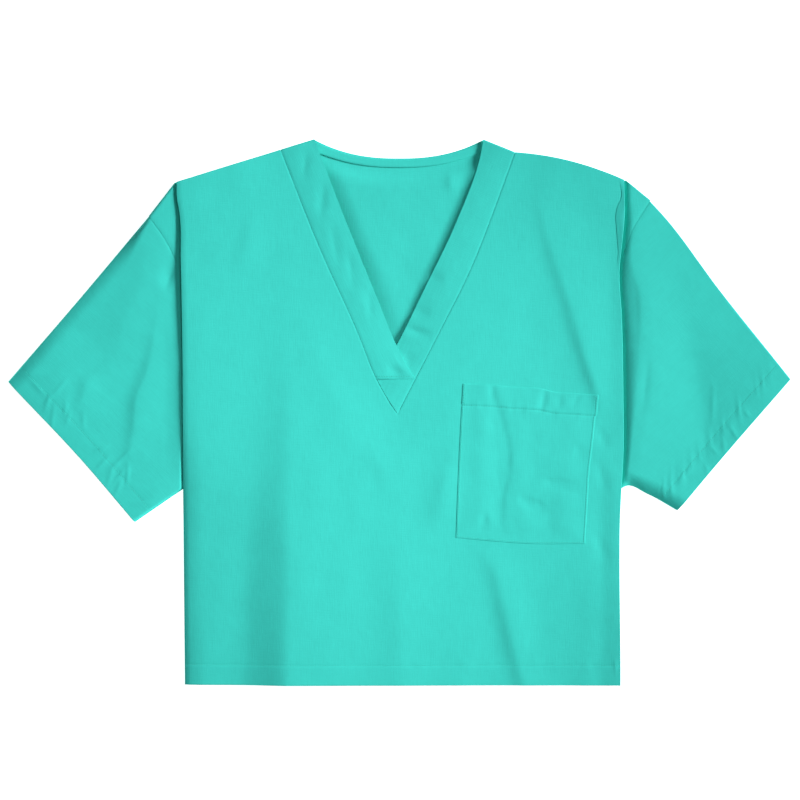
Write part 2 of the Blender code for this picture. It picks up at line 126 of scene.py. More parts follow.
def round_over(t):
    """A quarter circle: rises steeply from 0 and is level from 1 on."""
    t = np.clip(t, 0.0, 1.0)
    return np.sqrt(1 - (1 - t) ** 2)


def hump(distance, width, power=2.0):
    return np.exp(-np.abs(distance / width) ** power)


def mix(a, b, t):
    return a + (b - a) * t


def points_of(*axes):
    """Points from their coordinates, each spread over all the others."""
    return np.stack(np.broadcast_arrays(*axes), -1)


def run_along(line):
    return np.hstack([[0], np.cumsum(norm(np.diff(line, axis=0), axis=1))])


def read_along(line, run, places):
    return points_of(*(np.interp(places, run, axis) for axis in line.T))


def mirrored(points, side):
    return points * np.array((side.sign, 1, 1))


def spaced(width, near_start, near_end, count, power=1.0):
    """Shares of a width: set distances from both ends, and steps between them.

    The steps are even, or closer near the start where the power is above 1.
    """
    first = np.array(near_start) / width
    last = 1 - np.array(near_end)[::-1] / width
    steps = mix(first[-1], last[0], np.linspace(0, 1, count + 2)[1:-1] ** power)
    return np.hstack([first, steps, last])


class Curve:
    """A smooth curve through a few points, read by share of its length or by height."""

    STEPS = 24

    def __init__(self, *points):
        knots = np.array(points, float)
        span = norm(np.diff(knots[:, :2], axis=0), axis=1)[:, None]
        slope = np.diff(knots, axis=0) / span
        inner = (slope[:-1] * span[1:] + slope[1:] * span[:-1]) / (span[:-1] + span[1:])
        tangent = np.vstack([slope[:1], inner, slope[-1:]])
        t = np.linspace(0, 1, self.STEPS, endpoint=False)[:, None]
        stretches = [
            (1 - t) ** 2 * ((1 + 2 * t) * start + t * width * leaving)
            + t * t * ((3 - 2 * t) * end - (1 - t) * width * arriving)
            for start, end, width, leaving, arriving
            in zip(knots, knots[1:], span, tangent, tangent[1:])]
        self.points = np.vstack(stretches + [knots[-1:]])
        run = run_along(self.points[:, :2])
        self.length, self.share = run[-1], run / run[-1]
        self.start, self.end = self.points[0], self.points[-1]

    def at(self, share):
        return read_along(self.points, self.share, share)

    def out_at(self, up):
        """The distance out at a height, on a curve that only rises."""
        return np.interp(up, self.points[:, 1], self.points[:, 0])


class Fold:
    """A ridge, or a trough where its height is below 0, along a curve of (x, y, height).

    A point without a height is at 0. low and high are its half widths on the side of
    smaller x and on the other side, or of smaller y on a level fold.
    """

    CREST = 1.7  # below 2, the crest is crisper than a wave's

    def __init__(self, low, high, *points):
        self.low, self.high = low, high
        self.path = Curve(*((*point, 0)[:3] for point in points))
        flat = self.path.points[:, :2]
        along = np.gradient(flat, axis=0)
        self.along = along / norm(along, axis=1)[:, None]
        run, rise = flat[-1] - flat[0]
        steep = abs(rise) > 0.39 * abs(run)
        self.turn = -np.sign(rise) if steep else np.sign(run)

    def lift(self, x, y):
        reach = 3 * max(self.low, self.high)
        path = self.path.points
        (low_x, low_y), (high_x, high_y) = path[:, :2].min(0) - reach, path[:, :2].max(0) + reach
        near = (x > low_x) & (x < high_x) & (y > low_y) & (y < high_y)
        raised = np.zeros(x.shape)
        px, py = x[near], y[near]
        away = (px[:, None] - path[None, :, 0]) ** 2 + (py[:, None] - path[None, :, 1]) ** 2
        nearest = away.argmin(1)
        dx, dy = px - path[nearest, 0], py - path[nearest, 1]
        ax, ay = self.along[nearest].T
        across = self.turn * (dy * ax - dx * ay)
        share = self.path.share[nearest] + (dx * ax + dy * ay) / self.path.length
        beyond = np.maximum(0, np.maximum(-share, share - 1)) * self.path.length
        height = np.interp(share, self.path.share, path[:, 2])
        width = np.where(across < 0, self.low, self.high)
        fading = hump(beyond, (self.low + self.high) / 2)
        raised[near] = height * hump(across, width, self.CREST) * fading
        return raised


def folds_of(*rows):
    return [Fold(*row) for row in rows]


def lift(folds, x, y):
    return sum(fold.lift(x, y) for fold in folds)


def unevenness(x, y, size, seed):
    """Cloth is never quite flat: slow waves in all directions, between about -1 and 1."""
    chance = np.random.default_rng(seed)
    total = 0
    for _ in range(14):
        turn = chance.uniform(0, pi)
        wave = 2 * pi / (size * chance.uniform(0.6, 1.8))
        total += np.sin(wave * (x * np.cos(turn) + y * np.sin(turn)) + chance.uniform(0, 2 * pi))
    return total / 5


def puckers(along, seed, step=10):
    """Small uneven ridges across a seam, read by the distance along it."""
    chance = np.random.default_rng(seed)
    total = 0
    place = chance.uniform(0, step)
    while place < 800:
        height = chance.uniform(-0.4, 1.0)
        total += height * hump(along - place, chance.uniform(2.2, 4.2))
        place += step * chance.uniform(0.5, 1.6)
    return total


# short creases across the cuffs' stitches, each as (x, y) to (x, y)
RIGHT_PUCKERS = (
    (-436.3, 22.5, -441.3, 5), (-431.3, 2.5, -433.8, -16.3), (-416.3, 12.5, -417.5, -2.5),
    (-411.3, -1.3, -415, -11.3), (-458.8, 38.8, -445, 23.8), (-418.8, 36.3, -436.3, 17.5),
    (-338.8, -50, -358.8, -70), (-358.8, -72.5, -363.8, -87.5), (-345, -73.8, -353.8, -85),
    (-347.5, -86.3, -353.8, -101.3), (-363.8, -42.5, -376.3, -47.5), (-338.8, -70, -340, -87.5),
    (-365, -57.5, -376.3, -70), (-395, -5, -393.8, -17.5),
)
LEFT_PUCKERS = (
    (391.3, 25, 390, -7.5), (416.3, -12.5, 400, -31.3), (403.8, -35, 405, -47.5),
    (413.8, -20, 420, -31.3), (431.3, 0, 435, -5), (361.3, -71.3, 359, -77.5),
    (353.8, -76.3, 351.3, -87.5), (391.3, -45, 395, -52), (382.5, -66, 384, -75),
)
PUCKER = (1.6, 3.1, 0.45)


def pucker(ends):
    """A short crease, highest in its middle, that fades half its length past each end."""
    low, high, height = PUCKER
    start, end = np.array(ends[:2]), np.array(ends[2:])
    middle, reach = (start + end) / 2, end - start
    return low, high, middle - reach, (*middle, height), middle + reach


# --- the two sides ---
# Curves of (out, up): fold is the body's edge from the hem up, armhole the seam of body and
# sleeve, v_seam that of front and neck band, band_edge the band's free edge, cuff runs from
# its top corner down, and sleeve_top and underarm are the sleeve's folded edges. v_height and
# band_height have (up, height). rim is the radius of the sleeve's folded rims, and rim_slopes
# are the widths over which the cloth rises from the rims of the shoulder, the sleeve's top and
# its underarm. gap_slope has (up, gap, steep run, steep rise, gentle run, gentle rise) of the
# sleeve beside the body's edge, fall is the share by which it is less puffed far from there,
# and folds are the sleeve's. bow is how far the shoulder line rises above a straight one.
# side_drops has (drop, distance, height over which it fades), by which the front curves down
# to its edge. inner_fold is where the front folds over itself beside its edge, inner_step has
# (up, height) of the step there, and overhang is how far the edge stands out over its return.
Side = namedtuple("Side", "sign fold armhole v_seam band_edge v_height band_height cuff "
                          "sleeve_top underarm rim rim_slopes fall gap_slope folds bow "
                          "side_drops inner_fold inner_step overhang",
                  defaults=(0, (), None, None, 0))

RIGHT_UNDERARM = (270, UNDERARM_UP)
RIGHT_SHOULDER = (312.9, 245)
RIGHT = Side(
    sign=-1,
    fold=Curve((267.9, HEM_UP), RIGHT_UNDERARM, (270.6, 75), (272.5, 189), (274, 247),
               (277.5, 269), (277.8, 286.9)),
    armhole=Curve(RIGHT_UNDERARM, (259, -65), (249.5, 0), (250.5, 50), (260, 125), (276.5, 184.1),
                  (292.4, 216), RIGHT_SHOULDER),
    v_seam=Curve((-CENTRE, V_POINT_UP), (12.9, 14), (28, BAND_END_UP), (50, 95.6), (100, 207),
                 (147.8, 327.5)),
    band_edge=Curve((-20.6, BAND_END_UP), (-13, 52), (3.1, 83.1), (25.5, 137.5), (75, 260),
                    (105.5, NECK_UP)),
    v_height=((V_POINT_UP, 9.3), (28, 9.3), (BAND_END_UP, 9.5), (60, 9.5), (200, 9.6),
              (NECK_UP, 8)),
    band_height=((BAND_END_UP, 9.7), (83.1, 8.8), (200, 10.8), (NECK_UP, 9)),
    cuff=Curve((CUFF_TIP, 38.1), (398.8, -57.5), (330, -138)),
    sleeve_top=Curve(RIGHT_SHOULDER, (400, 141.3), (CUFF_TIP, 38.1)),
    underarm=Curve(RIGHT_UNDERARM, (300, -117.5), (330, -138)),
    side_drops=((3.6, 130, 120), (2, 24, 260), (0.7, 7, 2000)),
    rim=0.9,
    rim_slopes=(2.5, 17, 2.5),
    fall=0.20,
    gap_slope=((UNDERARM_UP, 0, 4, 3.4, 40, 1), (-70, 0, 4, 4.6, 22, -0.4),
               (-40, 0, 3.2, 5.6, 22, -1.2), (60, 0, 3.2, 6, 22, -1.6), (110, 0, 4, 5.2, 25, -0.6),
               (180, 0, 6, 3.6, 30, 1.2), (210, 0, 10, 5.4, 30, 0.4), (235, 0, 8, 6, 20, 0.2),
               (265, 0, 4, 6.6, 20, 0.1)),
    folds=folds_of(
        (10, 4, (-280, 182), (-285, 170, -1), (-293, 150)),
        (20, 34, (-310, 225), (-320, 165, 0.8), (-340, 115, 1), (-356, 60, 0.6), (-372, 20)),
        (8, 26, (-352, 110), (-375.5, 47, 0.4), (-388, 37.5, 0.9), (-395, 16, 0.9), (-407.5, 1)),
        (8, 30, (-298, 140), (-306, 85, 0.7), (-315.6, 46.3, 1.2), (-326.3, 20, 1.3),
         (-330, -15, 1.2), (-335, -47.5, 0.8), (-340, -85)),
        (60, 50, (-410, 105), (-421, 60, 2), (-425, 20, 2.8), (-410, -20, 1.2)),
        *map(pucker, RIGHT_PUCKERS),
    ),
)

LEFT_UNDERARM = (277.5, UNDERARM_UP)
LEFT_SHOULDER = (314, 264)
LEFT = Side(
    sign=1,
    bow=6.5,
    fold=Curve((276.2, HEM_UP), LEFT_UNDERARM, (279.7, -60), (279.9, 25), (278.2, 115),
               (275.3, 180), (278.3, 210), (281.2, 240), (280.8, 289.5)),
    armhole=Curve(LEFT_UNDERARM, (266, -65), (256, 0), (257, 60), (264, 125), (276.1, 180.3),
                  (289.6, 223.8), LEFT_SHOULDER),
    v_seam=Curve((CENTRE, V_POINT_UP), (20.6, BAND_END_UP), (53.6, 105.5), (85.8, 169.8),
                 (130.3, 283.5), (145, 324.3)),
    band_edge=Curve((-27.2, BAND_END_UP), (-3.1, 83.1), (31.3, 152.5), (73.4, 241.3),
                    (100.6, 315.6), (105.6, NECK_UP)),
    v_height=((V_POINT_UP, 9.3), (85, 8.9), (160, 9.4), (NECK_UP, 8)),
    band_height=((V_POINT_UP, 9.1), (85, 6.5), (120, 6.6), (155, 7.7), (200, 8.5), (280, 7.9),
                 (NECK_UP, 5)),
    cuff=Curve((CUFF_TIP, 41.9), (418, -40), (348, -123.5)),
    sleeve_top=Curve(LEFT_SHOULDER, (327.9, 248.8), (401.3, 151.8), (CUFF_TIP, 41.9)),
    underarm=Curve(LEFT_UNDERARM, (284, -93), (311, -103), (348, -123.5)),
    rim=0.5,
    rim_slopes=(0.3, 0.3, 18),
    fall=0.10,
    gap_slope=((UNDERARM_UP, 0, 7, 6.2, 20, 0.6), (-47.5, 0, 9.5, 8.2, 20, 1),
               (15, 0, 16, 9.6, 30, 1), (77.5, 0, 21, 9.8, 30, 1), (140, 0.3, 27, 8.2, 26, 1),
               (190, 0.3, 14, 7.8, 22, 0.6), (227.5, 0.3, 11, 7.8, 14, 0.4),
               (264, 0.3, 8, 6.6, 10, 0.1)),
    inner_fold=Curve((276.4, 174), (273.5, 197), (271, 227), (270, 242), (271.8, 252),
                     (276.8, 266), (277, 273), (273, 289.5)),
    inner_step=((174, 0), (190, 0.2), (215, 0.3), (245, 0.3), (268, 0.4), (280, 0.2), (289, 0)),
    overhang=5.5,
    folds=folds_of(
        (34, 26, (335, 190), (352, 130, -0.6), (368, 60, -1.6), (379, -10, -1.8),
         (382, -60, -0.6)),
        (5, 4, (286, 180), (294.5, 150, -0.3), (296, 110, -0.3), (294.5, 60)),
        (6, 5, (312, 75), (308, 40, -0.5), (303, -5)),
        (55, 60, (440, 120), (460, 60, 2), (455, 10, 2), (425, -40, 1.4), (390, -100, 0.4)),
        *map(pucker, LEFT_PUCKERS),
    ),
)

# the front's drapes and creases: half widths, then (x, y, height) along each
FRONT_FOLDS = folds_of(
    # the large drape on the wearer's right: a trough, then a rise to a long crest
    (50, 20, (-186, -80), (-190, -180, -0.8), (-194, -350, -1.2)),
    (32, 150, (-138, 140), (-136, 40, 1.3), (-135, -50, 3), (-136, -130, 4.5), (-137, -230, 5.7),
     (-139, -345, 6.4)),
    (24, 40, (2, -120), (2, -220, 1.2), (4, -350, 1.5)),
    # from the wearer's left shoulder to the pocket's corner
    (10, 36, (168, 292), (190, 207, 1.2), (209, 148, 1.7), (231, 76, 2), (246, 24, 1.3),
     (252, -10)),
    # the wearer's left chest falls a little towards its edge
    (110, 30, (258, 280), (262, 200, -1.8), (262, 30, -2.2), (262, -80)),
    # below the pocket
    (10, 30, (100, -165), (120, -200, 1.2), (131, -245, 1.7), (145, -300, 1.8), (157, -350, 1.8)),
    (14, 13, (247, -60), (252, -120, -0.8), (254, -190, -0.8), (252, -350, -0.7)),
    (30, 30, (60, -180), (75, -350, 1)),
    # the wearer's left side rises to its edge
    (70, 20, (300, -130), (300, -230, 4), (300, -350, 5.2)),
    (4, 12, (222, 92), (236, 52, 0.4), (247.5, 20, 0.5), (251, 4)),
    (10, 20, (-178, 258), (-190, 210, 0.7), (-204, 168)),
    (8, 14, (-114, 222), (-97, 190, 0.6), (-82, 154)),
    (12, 24, (68, -70), (54, -100, 0.6), (40, -136)),
    (12, 24, (76, -20), (60, -80, 0.8), (43, -158)),
    (12, 16, (-38, -35), (-24, -68, 0.6), (-9, -104)),
    (5, 6, (246, -16), (254, -34, -0.8), (258, -48)),
    (5, 6, (246, -58), (253, -82, -0.8), (258, -106)),
    (5, 6, (242, -145), (252, -168, -0.7), (257, -190)),
)

# creases in each neck band
RIGHT_BAND_FOLDS = folds_of(
    (10, 4, (-10, 78), (-4, 64, 0.3), (11.5, 48, 0.4)),
    (6, 5, (-114, 327), (-117, 308, -0.7), (-120, 288)),
    (6, 6, (-93, 290), (-96, 262, -0.8), (-100, 236)),
    (6, 8, (-84, 240), (-80, 208, -0.6), (-74, 180)),
    (6, 6, (-66, 210), (-60, 180, -0.5), (-58, 150)),
    (5, 7, (-38, 155), (-36, 130, -0.5), (-34, 108)),
    (10, 5, (-16, 56), (-4, 51, -1.2), (8, 46, -0.3)),
)
LEFT_BAND_FOLDS = folds_of(
    (7, 7, (26, 165), (42, 168, -0.8), (58, 166)),
    (6, 6, (12, 122), (27, 124, -0.8), (42, 124)),
    (6, 4, (6, 106), (22, 101, -1.5), (42, 96)),
    (5, 10, (6, 78), (11, 66, -0.7), (14, 52)),
)

# the pocket's own creases
POCKET_FOLDS = folds_of(
    (14, 5, (117, 30), (121, 10, -0.6), (131, -35, -1.2), (134, -63, -1.2), (127, -110, -0.8),
     (127, -155, -0.4)),
    (5, 2.2, (117, 34, -0.3), (118, 22, -0.8), (121, 8, -0.2)),
    (5, 2.4, (184, 30, -0.2), (181, 14, -1), (177, -4)),
    (5, 2.2, (202, 24), (201, 12, -0.5), (200, 0)),
    (5, 2.2, (228, 22), (221, 14, -0.6), (214, 6)),
    (8, 4, (176, -83), (200, -89, -1.2), (231, -95, -0.4)),
    (7, 4, (148, -106), (165, -113, -1.2), (184, -118)),
    (6, 3, (218, -44), (229, -49, -0.9), (239, -52)),
    (6, 3, (106, -122), (107, -136, -0.8), (103, -152)),
    (16, 10, (190, -100), (185, -130, -0.6), (183, -160, -0.4)),
)

# folds of the back that show inside the V
BACK_FOLDS = folds_of((5, 9, (58, 298), (64, 288, 1.2), (70, 278)))

# the back's rise towards the band on the wearer's left, as (up, rise)
BACK_RISE = ((90, 0.6), (120, 1.8), (170, 2.6), (300, 2.6))
RISE_SPREAD = 5  # the rise is this many times as wide as it is high

# the back's lift inside the V, as (up, lift)
BACK_LIFT = ((80, 1.3), (120, 2.5), (150, 3.1), (200, 3.7), (300, 3.4))

# the pocket's edges, in x and y
POCKET_LEFT = Curve((71, -156.5), (73.8, -80), (78.3, 8.8), (80, 35.4))
POCKET_RIGHT = Curve((231.8, -164.1), (235.2, -106.3), (236.8, -75), (240.5, -45), (245.2, 0),
                     (247, 21.2))
POCKET_BOTTOM = Curve((71, -156.5), (117.5, -161), (161.2, -164), (231.8, -164.1))
POCKET_TOP = Curve((80, 35.4), (117.5, 33.8), (146.2, 31.3), (180, 28.8), (187.5, 26.6),
                   (222.5, 23.1), (247, 21.2))


# --- where the seams and edges run ---
def inner_up(side, share):
    """Height of a row at the front's inner edge: the centre line, then the V's seam."""
    return np.interp(share, (0, V_SHARE, BAND_END_SHARE, 1),
                     (UNDERARM_UP, V_POINT_UP, BAND_END_UP, side.v_seam.end[1]))


def armhole_point(side, share, shift=0):
    """Points of the armhole seam, moved off it by shift, away from the body."""
    low, high = side.armhole.start[1], side.armhole.end[1]
    up = mix(low, high, share)
    below, above = np.maximum(up - CLOTH, low), np.minimum(up + CLOTH, high)
    run = side.armhole.out_at(above) - side.armhole.out_at(below)
    rise = above - below
    length = np.hypot(run, rise)
    out = side.armhole.out_at(up) + shift * rise / length
    return points_of(out, up - shift * run / length)


def bow_up(side, share):
    return side.bow * np.maximum(0, 4 * share * (1 - share))


def shoulder_up(side, out):
    start, end = side.v_seam.end, side.fold.end
    share = (out - start[0]) / (end[0] - start[0])
    return mix(start[1], end[1], share) + bow_up(side, share)


def climb_by(rise, up):
    """0 well below the underarm and 1 above it; rise gives where it starts and over what."""
    return smooth((up - UNDERARM_UP + rise[0]) / rise[1])


def along_table(table, up):
    return np.interp(up, *zip(*table))


# --- heights of the cloth ---
def front_height(side, out, up):
    """Height of the middle of the front's cloth over a place on the floor."""
    x = side.sign * out
    above = climb_by(EDGE_RISE, up)
    from_edge = side.fold.out_at(up) - CLOTH / 2 - ROLL - out
    height = mix(mix(BODY, EDGE, above), BODY, smooth(from_edge / EDGE_SLOPE))
    for drop, distance, fade in side.side_drops:
        lasting = 1 - smooth((up - UNDERARM_UP + 30) / fade)
        height -= drop * lasting * np.clip(1 - from_edge / distance, 0, 1) ** 2
    height += lift(FRONT_FOLDS, x, up) + 0.13 * unevenness(x, up, 55, 3)
    from_v = np.hypot(out - side.v_seam.out_at(up), np.maximum(0, V_POINT_UP - up))
    height = mix(along_table(side.v_height, up), height, smooth(from_v / NECK_SLOPE))
    height -= SEAM_DIP * hump(from_v, STITCH_WIDTH)
    from_hem = up - HEM_UP
    height += HEM_RISE * smooth((HEM + 1.5 - from_hem) / 3)
    height -= 0.3 * hump(from_hem - HEM, STITCH_WIDTH)
    height += 0.35 * puckers(out + 400 * side.sign, 11) * hump(from_hem - HEM, 8)
    height -= 0.4 * (1 - round_over(from_hem / 1.2))
    height = np.maximum(height, LOWEST)
    rim = mix(OVER_RETURN, ON_BACK, smooth((from_edge - LIP) / LIP))
    return mix(rim, height, round_over((shoulder_up(side, out) - up) / SHOULDER_ROLL))


def risen(distance, slope):
    """Steep at first and level from the distance slope on."""
    return 1 - np.clip(1 - distance / slope, 0, 1) ** 2


def low_height(side, out, up, above_rim, rim, station=0):
    """Height of the sleeve's upper layer, and of the body's cloth up to its seam."""
    heights, *sizes = zip(*side.gap_slope)
    gap, steep_run, steep_rise, run, rise = [np.interp(up, heights, size) for size in sizes]
    past_gap = out - side.fold.out_at(up) - gap - GAP / 2
    beside = smooth(past_gap / (FOOT * steep_run)) * round_over(past_gap / steep_run)
    gently = np.sin(pi / 2 * np.clip((past_gap - steep_run / 2) / run, 0, 1))
    far = smooth((past_gap - run / 2) / FAR)
    puff = steep_rise * beside + rise * gently
    puff *= (1 - CUFF_FLATTER * station) * (1 - side.fall * far)
    x = side.sign * out
    height = ON_BACK + puff + lift(side.folds, x, up) * beside
    height += 0.11 * unevenness(x, up, 45, 5) * beside
    return mix(rim, np.maximum(height, ON_BACK), above_rim)


# --- the front ---
HEM_ROWS = (0, 0.2, 0.6, 1.5, 3, 6, 10, 14, 18, 21, 23, 24.2, 25, 25.8, 27, 29)
NEAR = 0.1  # the first step in from an edge, so that it looks crisp
INNER_WALL = 0.3  # run of the step at the inner fold
SEAM_COLUMNS = (0, NEAR, 0.6, 1.3, 2.2, 3.5, 5.5)
STRIP = 7.2  # width of the strip with close columns along the edge
STRIP_SHARES = np.array((0.0, 0.02, 0.12, 0.30, 0.50, 0.75))
TOP_SHARES = 1 - np.array([0.028, 0.021, 0.014, 0.008, 0.004, 0.0018, 0.0006, 0.0])
TURNS = np.radians(np.linspace(0, 180, 8)[1:-1])
FRONT_STEPS = 57


def upper_shares():
    """Shares of the way from underarm to shoulder, a row each."""
    rows = round((RIGHT.fold.end[1] - UNDERARM_UP) / ROW_STEP)
    even = np.linspace(0, TOP_SHARES[0], rows)[:-1]
    marks = [V_SHARE, BAND_END_SHARE]
    kept = [share for share in even if min(abs(share - mark) for mark in marks) > 0.002]
    return np.array(sorted(kept + marks) + list(TOP_SHARES))


SHARES = upper_shares()


def lower_rows():
    first = HEM_UP + np.array(HEM_ROWS)
    count = round((UNDERARM_UP - first[-1]) / ROW_STEP)
    return np.hstack([first, np.linspace(first[-1], UNDERARM_UP, count + 1)[1:-1]])


def half_front(side):
    """Half the front as rows of points; not-a-number where the pleat's cloth is absent."""
    below = lower_rows()
    share = np.hstack([0 * below, SHARES])
    up = np.hstack([below, mix(UNDERARM_UP, side.fold.end[1], SHARES)])
    inner = np.hstack([below, inner_up(side, SHARES)])
    inner_out = np.where(inner > V_POINT_UP, side.v_seam.out_at(inner) + SEAM_SHIFT,
                         side.sign * CENTRE)
    start = side.fold.out_at(up) - CLOTH / 2 - ROLL
    strip, step = np.full(len(up), STRIP), np.zeros(len(up))
    if side.inner_fold is not None:
        in_strip = up > side.inner_fold.start[1]
        strip[in_strip] = np.maximum(3, (start - side.inner_fold.out_at(up))[in_strip])
        step = along_table(side.inner_step, up)
    columns = np.array([
        spaced(width, SEAM_COLUMNS, [
            *(STRIP_SHARES * reach), reach - NEAR - 2 * INNER_WALL, reach - INNER_WALL - NEAR,
            reach - INNER_WALL, reach, reach + NEAR, reach + 1.2, reach + 3.2], FRONT_STEPS)
        for width, reach in zip(start - inner_out, strip)])
    out = mix(inner_out[:, None], start[:, None], columns)
    place_up = mix(inner[:, None], up[:, None], columns)
    place_up = place_up + bow_up(side, columns) * share[:, None] ** 2
    height = front_height(side, out, place_up)
    strip_part = slice(-3 - len(STRIP_SHARES), None)
    from_step = out[:, strip_part] - (start - strip)[:, None]
    height[:, strip_part] += step[:, None] * (1 + 3 * np.clip(from_step / 8, 0, 1))
    top = points_of(out, place_up, np.maximum(height, LOWEST))

    under = mix(ON_BACK, RETURN, climb_by(RETURN_RISE, up))
    middle, radius = (top[:, -1, 2] + under) / 2, (top[:, -1, 2] - under) / 2
    lean = side.overhang * climb_by(RETURN_RISE, up)[:, None]
    rolled = points_of(start[:, None] + ROLL * np.sin(TURNS) - lean * (1 - np.cos(TURNS)) / 2,
                       up[:, None], middle[:, None] + radius[:, None] * np.cos(TURNS))

    seam_out = armhole_point(side, share, -GAP / 2)[:, 0]
    tuck = np.minimum(start, seam_out - CLOTH / 2 - ROLL) - LIP + ROLL
    turned_in = points_of(mix(start[:, None] - lean, tuck[:, None], np.linspace(0, 1, 5)),
                          up[:, None], under[:, None])
    hidden = pleat(side, share, tuck, up)
    hidden[:len(below)] = np.nan
    return mirrored(np.hstack([top, rolled, turned_in, hidden]), side)


def pleat(side, share, tuck, up):
    """The pleat's inner fold, and the cloth from there to the armhole seam."""
    radius = (RETURN - ON_BACK) / 2
    turned = points_of(tuck[:, None] - radius * np.sin(TURNS), up[:, None],
                       ON_BACK + radius * (1 + np.cos(TURNS)))
    seam = armhole_point(side, share, -GAP / 2)
    fold_out = side.fold.out_at(up)
    from_top = norm(seam - seam[-1], axis=1)
    rows = []
    for k, (edge, height) in enumerate(zip(tuck, up)):
        reach = seam[k, 0] - edge
        knee = KNEE * share[k] ** 4
        near_seam = np.array((0, 0.2, 0.6, 1.4, 3))
        last = 1 - near_seam[-1] / reach
        visible = np.clip((fold_out[k] - edge) / reach, 0.15, 0.5 * last)
        fine = np.hstack([np.linspace(0, visible, 4)[:-1], np.linspace(visible, last, 14)])
        even = np.linspace(0, last, len(fine))
        column = np.hstack([mix(even, fine, smooth((reach - 12) / 10)),
                            1 - near_seam[-2::-1] / reach])
        drop = np.maximum(0, (column - knee) / (1 - knee))
        out = mix(edge, seam[k, 0], column)
        place_up = mix(height, seam[k, 1], drop)
        z = low_height(side, out, place_up, risen(from_top[k], side.rim_slopes[0]), ON_BACK)
        z -= SEAM_DIP * hump((1 - column) * reach, SEAM_WIDTH) * smooth(z - ON_BACK)
        rows.append(points_of(out, place_up, z))
    return np.hstack([turned, np.array(rows)])


# --- the sleeves ---
CUFF_ROWS = (0, 0.2, 0.5, 1.2, 2.5, 5, 8, 11, 14, 17, 20, 22, 23.6, 24.3, 25, 25.7, 26.4,
             28, 31)
SLEEVE_ROOT_ROWS = (0, 0.2, 0.6, 1.4, 3, 5)
SLEEVE_STEPS = 84
RIM_SHARES = np.array((0.0, 0.0005, 0.0014, 0.004, 0.010, 0.018))
RIM_COLUMNS = 12  # columns at each rim that make room for it


def sleeve_place(side, station, share):
    """Places on the sleeve: station runs from armhole to cuff, share from underarm to top."""
    across = (1 - share)[..., None]
    root = armhole_point(side, share, GAP / 2)
    edges = mix(side.sleeve_top.at(station), side.underarm.at(station), across)
    seam_corners = mix(side.armhole.end, side.armhole.start, across)
    cuff_corners = mix(side.cuff.start, side.cuff.end, across)
    step = station[..., None]
    return mix(root, side.cuff.at(1 - share), step) + edges - mix(seam_corners, cuff_corners, step)


def sleeve_layer(side, shares):
    """Stations and places of one layer of the sleeve, a row for each station."""
    reach = norm(side.cuff.at(1 - shares) - armhole_point(side, shares, GAP / 2), axis=1)
    stations = np.array([spaced(width, SLEEVE_ROOT_ROWS, CUFF_ROWS, SLEEVE_STEPS, 1.35)
                         for width in reach]).T
    return stations, sleeve_place(side, stations, np.repeat(shares[None], len(stations), 0)), reach


def sleeve(side):
    """The flattened tube, as closed rings of points from the armhole to the cuff."""
    shares = np.hstack([1 - RIM_SHARES, np.linspace(0.972, 0.028, 128), RIM_SHARES[::-1]])
    stations, places, reach = sleeve_layer(side, shares)
    from_root = stations[:, :1] * norm(side.cuff.start - side.sleeve_top.start)
    radius = mix((ON_BACK - ON_FLOOR) / 2, side.rim, smooth(from_root / SLEEVE_RIM_RISE))

    ends = []
    for end, inwards in ((0, 1), (-1, -1)):
        outward = places[:, end] - places[:, end + 5 * inwards]
        outward /= norm(outward, axis=1)[:, None]
        ends.append(outward)
        moved = outward * (radius + CLOTH / 2)
        for step in range(RIM_COLUMNS):
            places[:, end + step * inwards] -= moved * (1 - step / RIM_COLUMNS)

    rim = ON_FLOOR + 2 * radius
    first = norm(places - places[:, :1], axis=2)
    last = norm(places - places[:, -1:], axis=2)
    out, up = places[..., 0], places[..., 1]
    shoulder, top, bottom = side.rim_slopes
    top = mix(shoulder, top, smooth(from_root / 60))
    above_rim = risen(first, top) * risen(last, bottom)
    height = low_height(side, out, up, above_rim, rim, stations)
    from_cuff = (1 - stations) * reach
    open_part = smooth(np.minimum(first, last) / 6)
    height -= 0.1 * hump(from_cuff - HEM, STITCH_WIDTH) * open_part
    slanted = first + side.sign * 0.8 * (from_cuff - HEM)
    ripple = puckers(slanted, 21 if side.sign < 0 else 22) * hump(from_cuff - HEM, 11)
    height += 0.4 * ripple * open_part
    height -= SEAM_DIP * hump(stations * reach, SEAM_WIDTH) * smooth(height - ON_BACK)
    height -= 0.2 * (1 - round_over(from_cuff)) * open_part
    upper = np.dstack([places, height])

    ends_below = np.array((0.0, 0.008, 0.020))
    lower_shares = np.hstack([ends_below, np.linspace(0.04, 0.96, 24), 1 - ends_below[::-1]])
    low_stations, low_places, _ = sleeve_layer(side, lower_shares)
    inside = smooth(np.minimum(lower_shares, 1 - lower_shares) / 0.02)
    low_places[..., 0] += TUCK * (1 - low_stations) * inside
    low_places[:, 0] = places[:, -1]
    low_places[:, -1] = places[:, 0]
    lower = points_of(low_places[..., 0], low_places[..., 1], ON_FLOOR)

    def arc(place, outward, turns):
        out_by = outward[:, None] * radius[..., None] * np.sin(turns)[None, :, None]
        return np.dstack([place[:, None] + out_by, ON_FLOOR + radius * (1 + np.cos(turns))])

    ring = np.hstack([upper, arc(places[:, -1], ends[1], TURNS), lower,
                      arc(places[:, 0], ends[0], TURNS[::-1]), upper[:, :1]])
    return mirrored(ring, side), mirrored(upper, side)


